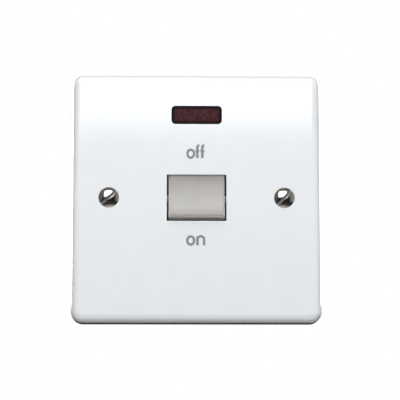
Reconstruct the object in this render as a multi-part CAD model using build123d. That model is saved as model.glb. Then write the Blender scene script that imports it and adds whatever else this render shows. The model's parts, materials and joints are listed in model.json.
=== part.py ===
from build123d import *
import math
import os

# A flush one-gang double pole switch with an indicator, shown switched off.
# Lengths are millimetres and angles are degrees. X runs to the right as the user sees the
# plate, Z runs up and Y runs into the wall. The origin is the centre of the plate's back
# plane, which is the wall's surface.

# Front plate: a moulded dish with a rounded front edge and a slightly tapered skirt
PLATE_WIDTH = 86.0
PLATE_HEIGHT = 86.0
PLATE_DEPTH = 9.0
PLATE_CORNER = 4.0
PLATE_EDGE_ROUND = 3.0
PLATE_DRAFT = 1.5
FACE_THICKNESS = 3.0
SKIRT_THICKNESS = 2.6
INNER_CORNER = 1.4
RIB_THICKNESS = 1.2
RIB_HEIGHT = 2.8
RIB_LEVELS = (-30.0, -14.5, 14.5)

# Fixing to the wall box
FIXING_CENTRES = 60.3
MOUNTING_SCREW_LENGTH = 25.0
MOUNTING_SCREW_RADIUS = 1.75
MOUNTING_NECK_RADIUS = 1.55
MOUNTING_HEAD_RADIUS = 3.4
MOUNTING_HEAD_DOME = 0.9
COUNTERSINK_RADIUS = 3.7
SCREW_CLEARANCE = 0.2
PILLAR_WALL = 2.2
SLOT_WIDTH = 1.0
SLOT_DEPTH = 1.1
LEFT_SLOT_ANGLE = 41.0
RIGHT_SLOT_ANGLE = 46.0

# Rocker and its opening
OPENING_WIDTH = 20.4
OPENING_HEIGHT = 15.9
OPENING_LIP = 0.4
OPENING_LIP_ROUND = 0.35
OPENING_FLARE_CLEARANCE = 0.3
ROCKER_SIDE_GAP = 0.6
ROCKER_END_GAP = 0.5
ROCKER_STAND = 0.4
ROCKER_DISH = 0.7
ROCKER_WALL = 1.5
ROCKER_ROUND = 0.6
ROCKER_SKIRT_DEPTH = 7.4
ROCKER_SWING = 20.0
PIVOT_DEPTH = 4.4
TRUNNION_RADIUS = 1.2
TRUNNION_LENGTH = 2.3
TRUNNION_CLEARANCE = 0.06

# Poles: one plunger, spring and moving contact on each side of the middle
POLE_OFFSET = 5.5
SLEEVE_BORE = 1.9
SLEEVE_WALL = 0.8
SLEEVE_REACH = 6.5
PLUNGER_CLEARANCE = 0.06
PLUNGER_TIP_REACH = 9.0
PLUNGER_HEAD_REACH = 2.5
PLUNGER_CONTACT_GAP = 0.25
PLUNGER_SPIGOT_RADIUS = 1.0
PLUNGER_SPIGOT_LENGTH = 1.2
SPRING_WIRE_RADIUS = 0.2
SPRING_FLAT_COUNT = 6
SPRING_TURNS = 4.0
SPRING_SIDE_GAP = 0.12

# Contact strip, moving contacts and silver rivets
STRIP_THICKNESS = 1.0
STRIP_WIDTH = 5.0
CONTACT_HALF_ANGLE = 9.0
CONTACT_ARM_LENGTH = 11.2
LUG_RADIUS = 0.6
LUG_LENGTH = 1.4
LUG_CLEARANCE = 0.08
EAR_GAP = 0.3
EAR_THICKNESS = 0.9
EAR_HALF_HEIGHT = 2.2
EAR_OVER_LUG = 0.9
RIVET_REACH = 9.2
RIVET_RADIUS = 1.7
RIVET_HEIGHT = 0.8
RIVET_SHANK_RADIUS = 0.8
RIVET_TOUCH_GAP = 0.1
FIXED_STRIP_INNER = 7.0
NECK_WIDTH = 3.0
NECK_TOP = -3.2
STOP_GAP = 0.1
STOP_WIDTH = 1.6
STOP_HEIGHT = 2.4
STOP_NECK_GAP = 0.2

# Terminals
TERMINAL_OFFSET = 9.0
TERMINAL_WIDTH = 8.0
TERMINAL_LENGTH = 9.0
TERMINAL_DEPTH = 9.0
TERMINAL_EDGE = 0.5
CONDUCTOR_BORE_RADIUS = 2.2
CONDUCTOR_BORE_LENGTH = 8.0
CONDUCTOR_BORE_INSET = 1.2
TERMINAL_SCREW_RADIUS = 2.0
TERMINAL_SCREW_HEAD_RADIUS = 2.9
TERMINAL_SCREW_HEAD_HEIGHT = 1.8
TERMINAL_SCREW_LIFT = 0.6
TERMINAL_SCREW_TIP_GAP = 0.05
TERMINAL_SLOT_WIDTH = 0.9
TERMINAL_SLOT_DEPTH = 0.9

# Rear housing
HOUSING_WIDTH = 32.0
HOUSING_HEIGHT = 48.0
HOUSING_BACK = 22.0
HOUSING_CORNER = 2.0
HOUSING_WALL = 2.0
FLANGE_WIDTH = 50.0
FLANGE_HEIGHT = 50.0
FLANGE_THICKNESS = 2.0
FLANGE_CORNER = 3.0
CAVITY_HEIGHT = 25.0
POCKET_CLEARANCE = 0.1
BARRIER_THICKNESS = 1.2
BARRIER_FRONT = 1.2
CHEEK_THICKNESS = 2.2
CHEEK_HALF_HEIGHT = 3.4
CORE_COLUMNS = 4
CORE_ROWS = 2
CORE_RIB = 1.8
CORE_FLOOR = 2.2
ACCESS_HOLE_GAP = 0.4
HOUSING_SCREW_X = 21.3
HOUSING_SCREW_Z = 20.5
HOUSING_SCREW_RADIUS = 1.4
HOUSING_SCREW_LENGTH = 6.4
HOUSING_HEAD_RADIUS = 2.8
HOUSING_HEAD_HEIGHT = 1.8
HOUSING_SLOT_WIDTH = 0.8
SLOT_TURN_BY_SIDE = 20.0
SLOT_TURN_BY_END = 35.0
BOSS_RADIUS = 3.2

# Indicator: red lens, neon lamp, resistor, leads and the tray that holds the lamp
LENS_OVER_HOUSING = 4.8
LENS_WIDTH = 17.4
LENS_HEIGHT = 6.4
LENS_CORNER = 1.4
LENS_GAP = 0.15
LENS_RECESS = 0.15
LENS_SKIN = 1.2
LENS_FLANGE_MARGIN = 1.4
LENS_FLANGE_THICKNESS = 0.9
LENS_EDGE = 0.25
LENS_HOLLOW_CORNER = 0.45
LAMP_RADIUS = 2.0
LAMP_LENGTH = 10.5
LAMP_DEPTH = 3.3
PINCH_LENGTH = 1.2
LEAD_RADIUS = 0.45
LEAD_TURN = 1.05
LEAD_SPREAD = 0.75
LEAD_RUN_X = 9.0
LEAD_LANDING_INSET = 5.5
LEAD_BEND = 1.0
LEAD_FLAT_COUNT = 8
RESISTOR_RADIUS = 1.1
RESISTOR_LENGTH = 6.5
RESISTOR_DROP = 4.6
RESISTOR_EDGE = 0.4
TRAY_THICKNESS = 1.0
TRAY_WIDTH = 28.6
TRAY_HEIGHT = 7.0
TRAY_BACK = 0.3
SADDLE_OVER_LAMP = 1.0
SADDLE_OFFSET = 3.0
SADDLE_THICKNESS = 1.2
PEG_OFFSET = 12.2
PEG_RADIUS = 1.1
PEG_COLLAR_RADIUS = 1.9

# How far a cut runs past the surface that it opens, and a bar into what it joins
CUT_PAST = 1.0
SEAT_INTO = 1.0

# How far apart two places may be and still count as level when edges are picked
LEVEL_MARGIN = 0.01

# Worked-out planes
front_y = -PLATE_DEPTH
face_back_y = front_y + FACE_THICKNESS
pivot_y = front_y + PIVOT_DEPTH
flange_front_y = -FLANGE_THICKNESS / 2
flange_back_y = FLANGE_THICKNESS / 2
fixing_x = FIXING_CENTRES / 2
opening_half = OPENING_HEIGHT / 2
rocker_half = opening_half - ROCKER_END_GAP
rocker_side = OPENING_WIDTH / 2 - ROCKER_SIDE_GAP
plunger_radius = SLEEVE_BORE - PLUNGER_CLEARANCE
half_angle = math.radians(CONTACT_HALF_ANGLE)
tip_to_strip = (plunger_radius + PLUNGER_CONTACT_GAP) / math.cos(half_angle)
contact_pivot_y = pivot_y + PLUNGER_TIP_REACH + tip_to_strip + STRIP_THICKNESS / 2
strip_front_y = contact_pivot_y + STRIP_THICKNESS / 2 + 2 * RIVET_HEIGHT + RIVET_TOUCH_GAP
strip_back_y = strip_front_y + STRIP_THICKNESS
terminal_back_y = strip_back_y + TERMINAL_DEPTH
terminal_end = HOUSING_HEIGHT / 2
lens_rise = terminal_end + LENS_OVER_HOUSING
lead_landing_z = terminal_end - LEAD_LANDING_INSET
bore_y = strip_back_y + CONDUCTOR_BORE_INSET + CONDUCTOR_BORE_RADIUS
bore_back_y = bore_y + CONDUCTOR_BORE_RADIUS
screw_z = terminal_end - TERMINAL_LENGTH / 2
lamp_y = -LAMP_DEPTH
POLES = {"left": -1, "right": 1}
ENDS = {"out": 1, "in": -1}


def block(x_range, y_range, z_range):
    """A box between two limits along each axis."""
    size = [abs(b - a) for a, b in (x_range, y_range, z_range)]
    centre = [(a + b) / 2 for a, b in (x_range, y_range, z_range)]
    return Pos(*centre) * Box(*size)


def rod(start, end, radius):
    """A round bar between two points."""
    direction = Vector(*end) - Vector(*start)
    plane = Plane(origin=start, z_dir=direction)
    return extrude(plane * Circle(radius), amount=direction.length)


def slab(width, height, corner, y_range, centre=(0.0, 0.0), taper=0.0):
    """A rounded rectangle in the plate's plane, run from one depth to another."""
    start, end = y_range
    direction = 1 if end > start else -1
    plane = Plane(origin=(centre[0], start, centre[1]), x_dir=(1, 0, 0), z_dir=(0, direction, 0))
    outline = plane * RectangleRounded(width, height, corner)
    return extrude(outline, amount=abs(end - start), taper=taper)


def profile_along_x(points, half_width, centre_x=0.0):
    """A closed outline of (y, z) points, run along X."""
    outline = make_face(Polyline(*[(centre_x - half_width, y, z) for y, z in points], close=True))
    return extrude(outline, amount=2 * half_width, dir=(1, 0, 0))


def turned(part, angle, axis_y):
    """The part turned about an axis along X at the given depth."""
    return part.rotate(Axis((0, axis_y, 0), (1, 0, 0)), angle)


def edges_inside(part, y, half_width, half_height, centre_z=0.0):
    """The part's edges that lie at one depth within a rectangle about the middle."""
    found = ShapeList()
    for edge in part.edges():
        box = edge.bounding_box()
        flat = abs(box.min.Y - y) < LEVEL_MARGIN and abs(box.max.Y - y) < LEVEL_MARGIN
        narrow = max(abs(box.min.X), abs(box.max.X)) < half_width + LEVEL_MARGIN
        low = max(abs(box.min.Z - centre_z), abs(box.max.Z - centre_z)) < half_height + LEVEL_MARGIN
        if flat and narrow and low:
            found.append(edge)
    return found


def slotted(head, centre, y_range, radius, width, angle):
    """A screw head with a straight driver slot cut across it."""
    slot = block((-radius, radius), y_range, (-width / 2, width / 2))
    return head - Pos(centre[0], 0, centre[1]) * Rot(0, -angle, 0) * slot


def opening_cut():
    """The rocker's opening: a short straight lip, then walls that flare to clear the swing."""
    corner = math.hypot(PIVOT_DEPTH + ROCKER_STAND, rocker_half)
    inner = math.sqrt(corner ** 2 - (PIVOT_DEPTH - FACE_THICKNESS) ** 2) + OPENING_FLARE_CLEARANCE
    lip_y = front_y + OPENING_LIP
    points = [
        (front_y - CUT_PAST, opening_half),
        (lip_y, opening_half),
        (face_back_y, inner),
        (face_back_y + CUT_PAST, inner),
        (face_back_y + CUT_PAST, -inner),
        (face_back_y, -inner),
        (lip_y, -opening_half),
        (front_y - CUT_PAST, -opening_half),
    ]
    return profile_along_x(points, OPENING_WIDTH / 2)


def fixing_cut(x):
    """A clearance hole with a ninety-degree countersink for one mounting screw."""
    hole_radius = MOUNTING_SCREW_RADIUS + SCREW_CLEARANCE
    hole = rod((x, front_y - CUT_PAST, 0), (x, CUT_PAST, 0), hole_radius)
    depth = COUNTERSINK_RADIUS - hole_radius
    corners = [(0, 0, 0), (COUNTERSINK_RADIUS, 0, 0), (hole_radius, depth, 0), (0, depth, 0)]
    outline = Polyline(*corners, close=True)
    cone = revolve(make_face(outline), Axis.Y)
    return hole + Pos(x, front_y, 0) * cone


def front_plate():
    shell = slab(PLATE_WIDTH, PLATE_HEIGHT, PLATE_CORNER, (0, front_y), taper=PLATE_DRAFT)
    shell = fillet(shell.edges().group_by(Axis.Y)[0], PLATE_EDGE_ROUND)
    inner_width = PLATE_WIDTH - 2 * SKIRT_THICKNESS
    inner_height = PLATE_HEIGHT - 2 * SKIRT_THICKNESS
    shell -= slab(inner_width, inner_height, INNER_CORNER, (0, face_back_y), taper=PLATE_DRAFT)
    rib_back_y = face_back_y + RIB_HEIGHT
    for z in RIB_LEVELS:
        rib = block(
            (-inner_width / 2, inner_width / 2),
            (face_back_y, rib_back_y),
            (z - RIB_THICKNESS / 2, z + RIB_THICKNESS / 2),
        )
        shell += rib
    for x in (-HOUSING_SCREW_X, HOUSING_SCREW_X):
        rib = block(
            (x - RIB_THICKNESS / 2, x + RIB_THICKNESS / 2),
            (face_back_y, rib_back_y),
            (-inner_height / 2, inner_height / 2),
        )
        shell += rib
    pillar_radius = MOUNTING_SCREW_RADIUS + SCREW_CLEARANCE + PILLAR_WALL
    for x in (-fixing_x, fixing_x):
        shell += rod((x, face_back_y, 0), (x, 0, 0), pillar_radius)
    for x in (-HOUSING_SCREW_X, HOUSING_SCREW_X):
        for z in (-HOUSING_SCREW_Z, HOUSING_SCREW_Z):
            shell += rod((x, face_back_y, z), (x, flange_front_y, z), BOSS_RADIUS)
            tip_y = flange_back_y - HOUSING_SCREW_LENGTH
            shell -= rod((x, tip_y - SCREW_CLEARANCE, z), (x, flange_front_y, z), HOUSING_SCREW_RADIUS)
    tray_front_y = -TRAY_BACK - TRAY_THICKNESS
    for x in (-PEG_OFFSET, PEG_OFFSET):
        shell += rod((x, face_back_y, lens_rise), (x, tray_front_y, lens_rise), PEG_COLLAR_RADIUS)
        shell += rod((x, tray_front_y, lens_rise), (x, -TRAY_BACK, lens_rise), PEG_RADIUS)
    shell -= opening_cut()
    window_y = (front_y - CUT_PAST, face_back_y + CUT_PAST)
    shell -= slab(LENS_WIDTH, LENS_HEIGHT, LENS_CORNER, window_y, (0, lens_rise))
    for x in (-fixing_x, fixing_x):
        shell -= fixing_cut(x)
    lip = edges_inside(shell, front_y, OPENING_WIDTH / 2, opening_half)
    return fillet(lip, OPENING_LIP_ROUND)


def rocker():
    """Dished paddle with end walls, trunnions and one spring sleeve for each pole."""
    face_end_y = front_y - ROCKER_STAND
    face_mid_y = face_end_y + ROCKER_DISH
    skirt_y = face_end_y + ROCKER_SKIRT_DEPTH
    ends = [(face_end_y, rocker_half), (face_end_y, -rocker_half)]
    left = -rocker_side
    face = ThreePointArc((left, *ends[0]), (left, face_mid_y, 0), (left, *ends[1]))
    skirt = [(skirt_y, -rocker_half), (skirt_y, rocker_half)]
    walls = Polyline(*[(left, *point) for point in (ends[1], *skirt, ends[0])])
    body = extrude(make_face(face + walls), amount=2 * rocker_side, dir=(1, 0, 0))
    front_edges = [e for e in body.edges() if e.bounding_box().max.Y < face_mid_y + LEVEL_MARGIN]
    body = fillet(front_edges, ROCKER_ROUND)
    hollow = block(
        (-rocker_side + ROCKER_WALL, rocker_side - ROCKER_WALL),
        (face_mid_y + ROCKER_WALL, skirt_y + CUT_PAST),
        (-rocker_half + ROCKER_WALL, rocker_half - ROCKER_WALL),
    )
    body -= hollow
    sleeve_end_y = pivot_y + SLEEVE_REACH
    for side in POLES.values():
        x = side * POLE_OFFSET
        body += rod((x, face_mid_y + ROCKER_WALL / 2, 0), (x, sleeve_end_y, 0), SLEEVE_BORE + SLEEVE_WALL)
    for side in POLES.values():
        x = side * POLE_OFFSET
        body -= rod((x, face_mid_y + ROCKER_WALL, 0), (x, sleeve_end_y + CUT_PAST, 0), SLEEVE_BORE)
        inner_x = side * (rocker_side - ROCKER_WALL)
        outer_x = side * (rocker_side + TRUNNION_LENGTH)
        body += rod((inner_x, pivot_y, 0), (outer_x, pivot_y, 0), TRUNNION_RADIUS)
    return turned(body, -ROCKER_SWING / 2, pivot_y)


def plunger(side):
    """Round nylon plunger: a spigot for the spring at its head and a domed tip."""
    head_y = pivot_y + PLUNGER_HEAD_REACH
    tip_y = pivot_y + PLUNGER_TIP_REACH
    spigot_y = head_y - PLUNGER_SPIGOT_LENGTH
    dome_side = plunger_radius * math.sqrt(0.5)
    sides = Polyline(
        (0, tip_y + plunger_radius, 0),
        (0, spigot_y, 0),
        (PLUNGER_SPIGOT_RADIUS, spigot_y, 0),
        (PLUNGER_SPIGOT_RADIUS, head_y, 0),
        (plunger_radius, head_y, 0),
        (plunger_radius, tip_y, 0),
    )
    dome = ThreePointArc(
        (plunger_radius, tip_y, 0),
        (dome_side, tip_y + dome_side, 0),
        (0, tip_y + plunger_radius, 0),
    )
    body = revolve(make_face(sides + dome), Axis.Y)
    return turned(Pos(side * POLE_OFFSET, 0, 0) * body, -ROCKER_SWING / 2, pivot_y)


def plunger_spring(side):
    """Compression spring between the rocker's face and the plunger, of fine flatted wire."""
    x = side * POLE_OFFSET
    start_y = front_y - ROCKER_STAND + ROCKER_DISH + ROCKER_WALL + SPRING_WIRE_RADIUS
    end_y = pivot_y + PLUNGER_HEAD_REACH - SPRING_WIRE_RADIUS
    coil_radius = plunger_radius - SPRING_SIDE_GAP - SPRING_WIRE_RADIUS
    length = end_y - start_y
    path = Helix(length / SPRING_TURNS, length, coil_radius, center=(x, start_y, 0), direction=(0, 1, 0))
    section = Plane(origin=path @ 0, z_dir=path % 0) * RegularPolygon(SPRING_WIRE_RADIUS, SPRING_FLAT_COUNT)
    return turned(sweep(section, path=path), -ROCKER_SWING / 2, pivot_y)


def rivet(x, y, z, towards):
    """Silver contact rivet: a head on the strip's face and a shank through the strip."""
    head = rod((x, y, z), (x, y + towards * RIVET_HEIGHT, z), RIVET_RADIUS)
    shank = rod((x, y - towards * STRIP_THICKNESS, z), (x, y, z), RIVET_SHANK_RADIUS)
    return head + shank


def to_upper_arm(part):
    """Moves a piece drawn on a level strip onto the bent upper arm, in the off position."""
    return turned(part, 2 * CONTACT_HALF_ANGLE, contact_pivot_y)


def moving_contact(side):
    """Rocking contact bar, bent to a shallow V, with a lug on each side of its middle."""
    x = side * POLE_OFFSET
    half = STRIP_THICKNESS / 2
    bend = half * math.tan(half_angle)
    reach = CONTACT_ARM_LENGTH
    back_y = contact_pivot_y + half
    fore_y = contact_pivot_y - half
    level = [(fore_y, -reach), (fore_y, bend), (back_y, -bend), (back_y, -reach)]
    lower = profile_along_x(level, STRIP_WIDTH / 2, x)
    upper_points = [(fore_y, -bend), (fore_y, reach), (back_y, reach), (back_y, bend)]
    upper = to_upper_arm(profile_along_x(upper_points, STRIP_WIDTH / 2, x))
    hub = rod((x - STRIP_WIDTH / 2, contact_pivot_y, 0), (x + STRIP_WIDTH / 2, contact_pivot_y, 0), half)
    lug_half = STRIP_WIDTH / 2 + LUG_LENGTH
    lugs = rod((x - lug_half, contact_pivot_y, 0), (x + lug_half, contact_pivot_y, 0), LUG_RADIUS)
    hole = rod((x, fore_y - CUT_PAST, RIVET_REACH), (x, back_y + CUT_PAST, RIVET_REACH), RIVET_SHANK_RADIUS)
    return lower + upper + hub + lugs - to_upper_arm(hole)


def moving_rivet(side):
    back_y = contact_pivot_y + STRIP_THICKNESS / 2
    return to_upper_arm(rivet(side * POLE_OFFSET, back_y, RIVET_REACH, 1))


def terminal_tail(side, end):
    """The wide end of a contact strip, which lies on the front of its terminal block."""
    x = side * TERMINAL_OFFSET
    z_out = terminal_end - TERMINAL_EDGE
    z_in = terminal_end - TERMINAL_LENGTH
    return block(
        (x - TERMINAL_WIDTH / 2, x + TERMINAL_WIDTH / 2),
        (strip_front_y, strip_back_y),
        (end * z_in, end * z_out),
    )


def fixed_contact(side):
    x = side * POLE_OFFSET
    z_in = terminal_end - TERMINAL_LENGTH
    strip = block(
        (x - STRIP_WIDTH / 2, x + STRIP_WIDTH / 2),
        (strip_front_y, strip_back_y),
        (FIXED_STRIP_INNER, z_in + SEAT_INTO),
    )
    hole = rod(
        (x, strip_front_y - CUT_PAST, RIVET_REACH),
        (x, strip_back_y + CUT_PAST, RIVET_REACH),
        RIVET_SHANK_RADIUS,
    )
    return strip + terminal_tail(side, ENDS["out"]) - hole


def fixed_rivet(side):
    return rivet(side * POLE_OFFSET, strip_front_y, RIVET_REACH, -1)


def pivot_contact(side):
    """Lower strip with two notched ears that carry the moving contact's lugs."""
    x = side * POLE_OFFSET
    ear_in = STRIP_WIDTH / 2 + EAR_GAP
    ear_out = ear_in + EAR_THICKNESS
    y_range = (strip_front_y, strip_back_y)
    z_in = terminal_end - TERMINAL_LENGTH
    strip = block((x - ear_out, x + ear_out), y_range, (NECK_TOP, EAR_HALF_HEIGHT))
    strip += block((x - NECK_WIDTH / 2, x + NECK_WIDTH / 2), y_range, (-z_in, NECK_TOP))
    step_z = (-z_in - SEAT_INTO, -z_in + SEAT_INTO)
    strip += block((x - STRIP_WIDTH / 2, x + STRIP_WIDTH / 2), y_range, step_z)
    ear_front = contact_pivot_y - EAR_OVER_LUG
    for ear_side in (-1, 1):
        ear = block(
            (x + ear_side * ear_in, x + ear_side * ear_out),
            (ear_front, strip_back_y),
            (-EAR_HALF_HEIGHT, EAR_HALF_HEIGHT),
        )
        strip += ear
    notch_radius = LUG_RADIUS + LUG_CLEARANCE
    notch_x = (x - ear_out - CUT_PAST, x + ear_out + CUT_PAST)
    notch = rod((notch_x[0], contact_pivot_y, 0), (notch_x[1], contact_pivot_y, 0), notch_radius)
    notch += block(notch_x, (ear_front - CUT_PAST, contact_pivot_y), (-notch_radius, notch_radius))
    return strip - notch + terminal_tail(side, ENDS["in"])


def terminal(side, end):
    """Brass terminal block: a conductor bore in its end and a screw hole in its back."""
    x = side * TERMINAL_OFFSET
    z_out = end * terminal_end
    body = block(
        (x - TERMINAL_WIDTH / 2, x + TERMINAL_WIDTH / 2),
        (strip_back_y, terminal_back_y),
        (z_out, z_out - end * TERMINAL_LENGTH),
    )
    body = chamfer(body.edges().filter_by(Axis.Z), TERMINAL_EDGE)
    bore_in = z_out - end * CONDUCTOR_BORE_LENGTH
    body -= rod((x, bore_y, z_out), (x, bore_y, bore_in), CONDUCTOR_BORE_RADIUS)
    thread_y = terminal_back_y + CUT_PAST
    return body - rod((x, bore_y, end * screw_z), (x, thread_y, end * screw_z), TERMINAL_SCREW_RADIUS)


def terminal_screw(side, end):
    """Cheese-head screw, backed out so that the conductor bore is clear."""
    x = side * TERMINAL_OFFSET
    z = end * screw_z
    head_y = terminal_back_y + TERMINAL_SCREW_LIFT
    top_y = head_y + TERMINAL_SCREW_HEAD_HEIGHT
    head = rod((x, head_y, z), (x, top_y, z), TERMINAL_SCREW_HEAD_RADIUS)
    slot_y = (top_y - TERMINAL_SLOT_DEPTH, top_y + CUT_PAST)
    reach = TERMINAL_SCREW_HEAD_RADIUS + CUT_PAST
    angle = side * SLOT_TURN_BY_SIDE + end * SLOT_TURN_BY_END
    head = slotted(head, (x, z), slot_y, reach, TERMINAL_SLOT_WIDTH, angle)
    return head + rod((x, bore_back_y + TERMINAL_SCREW_TIP_GAP, z), (x, head_y, z), TERMINAL_SCREW_RADIUS)


def rear_housing():
    """Moulded base: contact chamber, terminal pockets, rocker bearings and screw flange."""
    body = slab(HOUSING_WIDTH, HOUSING_HEIGHT, HOUSING_CORNER, (flange_front_y, HOUSING_BACK))
    body += slab(FLANGE_WIDTH, FLANGE_HEIGHT, FLANGE_CORNER, (flange_front_y, flange_back_y))
    chamber_x = OPENING_WIDTH / 2
    for side in POLES.values():
        cheek_x = (side * chamber_x, side * (chamber_x + CHEEK_THICKNESS))
        body += block(cheek_x, (face_back_y, flange_back_y), (-CHEEK_HALF_HEIGHT, CHEEK_HALF_HEIGHT))
    chamber_z = CAVITY_HEIGHT / 2
    body -= block((-chamber_x, chamber_x), (face_back_y - CUT_PAST, strip_back_y), (-chamber_z, chamber_z))
    body += block(
        (-BARRIER_THICKNESS / 2, BARRIER_THICKNESS / 2),
        (BARRIER_FRONT, strip_back_y),
        (-chamber_z, chamber_z),
    )
    slot_radius = TRUNNION_RADIUS + TRUNNION_CLEARANCE
    bearing_x = (-HOUSING_WIDTH, HOUSING_WIDTH)
    body -= rod((bearing_x[0], pivot_y, 0), (bearing_x[1], pivot_y, 0), slot_radius)
    body -= block(bearing_x, (face_back_y - CUT_PAST, pivot_y), (-slot_radius, slot_radius))
    body -= terminal_pockets()
    body += contact_stops()
    body -= rear_cores()
    for x in (-HOUSING_SCREW_X, HOUSING_SCREW_X):
        for z in (-HOUSING_SCREW_Z, HOUSING_SCREW_Z):
            hole_radius = HOUSING_SCREW_RADIUS + SCREW_CLEARANCE
            body -= rod((x, flange_front_y - CUT_PAST, z), (x, flange_back_y + CUT_PAST, z), hole_radius)
    return body


def terminal_pockets():
    """Room for the four terminal blocks, their strips and their screw heads."""
    pockets = None
    pocket_half = TERMINAL_WIDTH / 2 + POCKET_CLEARANCE
    inner_z = terminal_end - TERMINAL_LENGTH - POCKET_CLEARANCE
    hole_radius = TERMINAL_SCREW_HEAD_RADIUS + ACCESS_HOLE_GAP
    for side in POLES.values():
        strip_in = side * (POLE_OFFSET - STRIP_WIDTH / 2 - POCKET_CLEARANCE)
        x = side * TERMINAL_OFFSET
        for end in ENDS.values():
            channel = block(
                (strip_in, x + side * pocket_half),
                (flange_front_y - CUT_PAST, strip_back_y),
                (end * (CAVITY_HEIGHT / 2 - CUT_PAST), end * (terminal_end + CUT_PAST)),
            )
            pocket = block(
                (x - pocket_half, x + pocket_half),
                (flange_front_y - CUT_PAST, terminal_back_y + POCKET_CLEARANCE),
                (end * inner_z, end * (terminal_end + CUT_PAST)),
            )
            access = rod(
                (x, terminal_back_y - CUT_PAST, end * screw_z),
                (x, HOUSING_BACK + CUT_PAST, end * screw_z),
                hole_radius,
            )
            cut = channel + pocket + access
            pockets = cut if pockets is None else pockets + cut
    return pockets


def contact_stops():
    """Small posts beside each lower strip, which the moving contact rests on when off."""
    stops = None
    stop_y = contact_pivot_y + STRIP_THICKNESS / 2 + STOP_GAP
    z_low = -CONTACT_ARM_LENGTH
    for side in POLES.values():
        x = side * POLE_OFFSET
        for stop_side in (-1, 1):
            inner = x + stop_side * (NECK_WIDTH / 2 + STOP_NECK_GAP)
            post = block(
                (inner, inner + stop_side * STOP_WIDTH),
                (stop_y, strip_back_y + SEAT_INTO),
                (z_low, z_low + STOP_HEIGHT),
            )
            stops = post if stops is None else stops + post
    return stops


def rear_cores():
    """A grid of cored-out pockets in the back of the housing, behind the chamber."""
    pitch_x = (HOUSING_WIDTH - HOUSING_WALL - CORE_RIB) / CORE_COLUMNS
    pitch_z = (CAVITY_HEIGHT + HOUSING_WALL) / CORE_ROWS
    half_x = (pitch_x - CORE_RIB) / 2
    half_z = (pitch_z - CORE_RIB) / 2
    y_range = (strip_back_y + CORE_FLOOR, HOUSING_BACK + CUT_PAST)
    cell = block((-half_x, half_x), y_range, (-half_z, half_z))
    places = GridLocations(pitch_x, pitch_z, CORE_COLUMNS, CORE_ROWS)
    return [Pos(place.position.X, 0, place.position.Y) * cell for place in places]


def housing_screw(side, end):
    """Pan-head self-tapping screw from the flange into a boss of the plate."""
    x = side * HOUSING_SCREW_X
    z = end * HOUSING_SCREW_Z
    top_y = flange_back_y + HOUSING_HEAD_HEIGHT
    head = rod((x, flange_back_y, z), (x, top_y, z), HOUSING_HEAD_RADIUS)
    head = chamfer(head.edges().group_by(Axis.Y)[-1], HOUSING_HEAD_HEIGHT / 2)
    slot_y = (top_y - HOUSING_HEAD_HEIGHT / 2, top_y + CUT_PAST)
    reach = HOUSING_HEAD_RADIUS + CUT_PAST
    angle = side * SLOT_TURN_BY_END + end * SLOT_TURN_BY_SIDE
    head = slotted(head, (x, z), slot_y, reach, HOUSING_SLOT_WIDTH, angle)
    tip_y = flange_back_y - HOUSING_SCREW_LENGTH
    return head + rod((x, tip_y, z), (x, flange_back_y, z), HOUSING_SCREW_RADIUS)


def mounting_screw(x, slot_angle):
    """Raised countersunk screw: a plain neck through the plate, then the thread's full size."""
    radius = MOUNTING_HEAD_RADIUS
    rim_y = front_y + COUNTERSINK_RADIUS - radius
    dome_y = rim_y - MOUNTING_HEAD_DOME
    tip_y = rim_y + MOUNTING_SCREW_LENGTH
    ball_radius = (radius ** 2 + MOUNTING_HEAD_DOME ** 2) / (2 * MOUNTING_HEAD_DOME)
    dome_mid_y = dome_y + ball_radius - math.sqrt(ball_radius ** 2 - radius ** 2 / 4)
    dome = ThreePointArc((0, dome_y, 0), (radius / 2, dome_mid_y, 0), (radius, rim_y, 0))
    shank = Polyline(
        (radius, rim_y, 0),
        (MOUNTING_NECK_RADIUS, rim_y + radius - MOUNTING_NECK_RADIUS, 0),
        (MOUNTING_NECK_RADIUS, 0, 0),
        (MOUNTING_SCREW_RADIUS, 0, 0),
        (MOUNTING_SCREW_RADIUS, tip_y, 0),
        (0, tip_y, 0),
        (0, dome_y, 0),
    )
    body = Pos(x, 0, 0) * revolve(make_face(dome + shank), Axis.Y)
    slot_y = (dome_y - CUT_PAST, dome_y + SLOT_DEPTH)
    return slotted(body, (x, 0), slot_y, radius + CUT_PAST, SLOT_WIDTH, slot_angle)


def neon_lens():
    """Red window with a retaining flange behind the plate and a hollow for the lamp."""
    outer_y = front_y + LENS_RECESS
    width = LENS_WIDTH - 2 * LENS_GAP
    height = LENS_HEIGHT - 2 * LENS_GAP
    centre = (0, lens_rise)
    body = slab(width, height, LENS_CORNER - LENS_GAP, (outer_y, face_back_y), centre)
    body = chamfer(body.edges().group_by(Axis.Y)[0], LENS_EDGE)
    flange_y = face_back_y + LENS_FLANGE_THICKNESS
    flange_width = LENS_WIDTH + 2 * LENS_FLANGE_MARGIN
    flange_height = LENS_HEIGHT + 2 * LENS_FLANGE_MARGIN
    body += slab(flange_width, flange_height, LENS_CORNER, (face_back_y, flange_y), centre)
    hollow_width = width - 2 * LENS_SKIN
    hollow_height = height - 2 * LENS_SKIN
    hollow_y = (outer_y + LENS_SKIN, flange_y + CUT_PAST)
    return body - slab(hollow_width, hollow_height, LENS_HOLLOW_CORNER, hollow_y, centre)


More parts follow.
